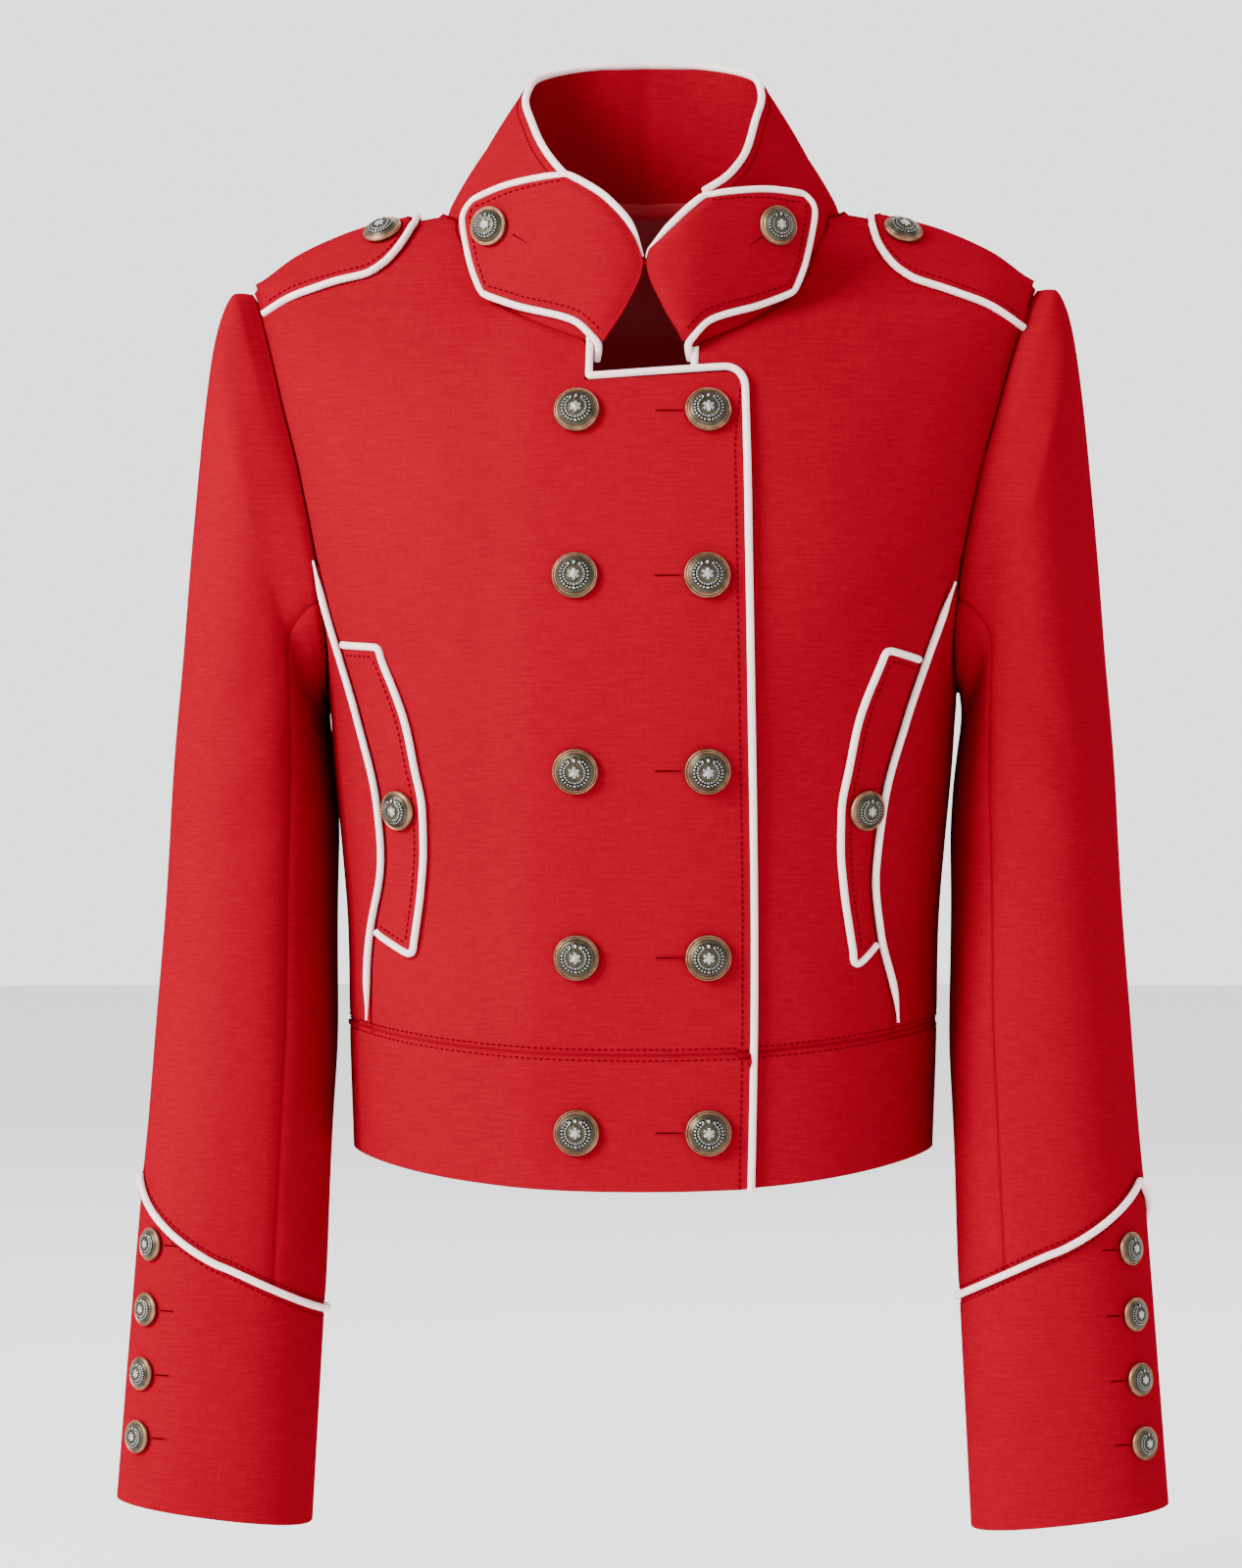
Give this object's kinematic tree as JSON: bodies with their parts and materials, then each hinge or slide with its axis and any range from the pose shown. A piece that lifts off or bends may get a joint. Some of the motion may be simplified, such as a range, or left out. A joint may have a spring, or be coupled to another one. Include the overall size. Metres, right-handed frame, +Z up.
{
  "type": "military jacket",
  "caption": "Cropped double-breasted military-style jacket with stand collar, turned-back collar tabs, shoulder straps, curved pocket flaps, white piping, banded hem and long cuffs.",
  "frame": {"origin": "middle of the neck base, level with the neck ends of the shoulder seams, where the wearer's shoulders hold the jacket", "axes": "+Z up the body, +X to the wearer's left, -Y the front"},
  "size_m": [0.5072, 0.2457, 0.7182],
  "materials": {
    "red_wool": "smooth felted red wool with a faint horizontal slub",
    "white_piping": "white fabric-covered cord",
    "satin_lining": "red satin",
    "antique_brass": "antiqued brass with a pewter-grey relief"
  },
  "bodies": {
    "root": {"back": "red_wool", "button_cuff_left_1": "antique_brass", "button_cuff_left_2": "antique_brass", "button_cuff_left_3": "antique_brass", "button_cuff_left_4": "antique_brass", "button_cuff_right_1": "antique_brass", "button_cuff_right_2": "antique_brass", "button_cuff_right_3": "antique_brass", "button_cuff_right_4": "antique_brass", "button_flap_left": "antique_brass", "button_flap_right": "antique_brass", "button_front_left_1": "antique_brass", "button_front_left_2": "antique_brass", "button_front_left_3": "antique_brass", "button_front_left_4": "antique_brass", "button_front_left_5": "antique_brass", "button_front_right_1": "antique_brass", "button_front_right_2": "antique_brass", "button_front_right_3": "antique_brass", "button_front_right_4": "antique_brass", "button_front_right_5": "antique_brass", "button_strap_left": "antique_brass", "button_strap_right": "antique_brass", "button_tab_left": "antique_brass", "button_tab_right": "antique_brass", "collar_stand": "red_wool", "collar_tab_left": "red_wool", "collar_tab_right": "red_wool", "cuff_left": "red_wool", "cuff_right": "red_wool", "front_lap": "red_wool", "front_under": "red_wool", "lining_back_neck": "satin_lining", "piping_collar": "white_piping", "piping_cuff_left": "white_piping", "piping_cuff_right": "white_piping", "piping_flap_left": "white_piping", "piping_flap_right": "white_piping", "piping_front_edge": "white_piping", "piping_notch": "white_piping", "piping_side_front_left": "white_piping", "piping_side_front_right": "white_piping", "piping_strap_left": "white_piping", "piping_strap_right": "white_piping", "piping_tab_left": "white_piping", "piping_tab_right": "white_piping", "pocket_flap_left": "red_wool", "pocket_flap_right": "red_wool", "shoulder_strap_left": "red_wool", "shoulder_strap_right": "red_wool", "side_front_left": "red_wool", "side_front_right": "red_wool", "sleeve_under_left": "red_wool", "sleeve_under_right": "red_wool", "sleeve_upper_left": "red_wool", "sleeve_upper_right": "red_wool", "waistband_back": "red_wool", "waistband_lap": "red_wool", "waistband_under": "red_wool"}
  },
  "joints": []
}
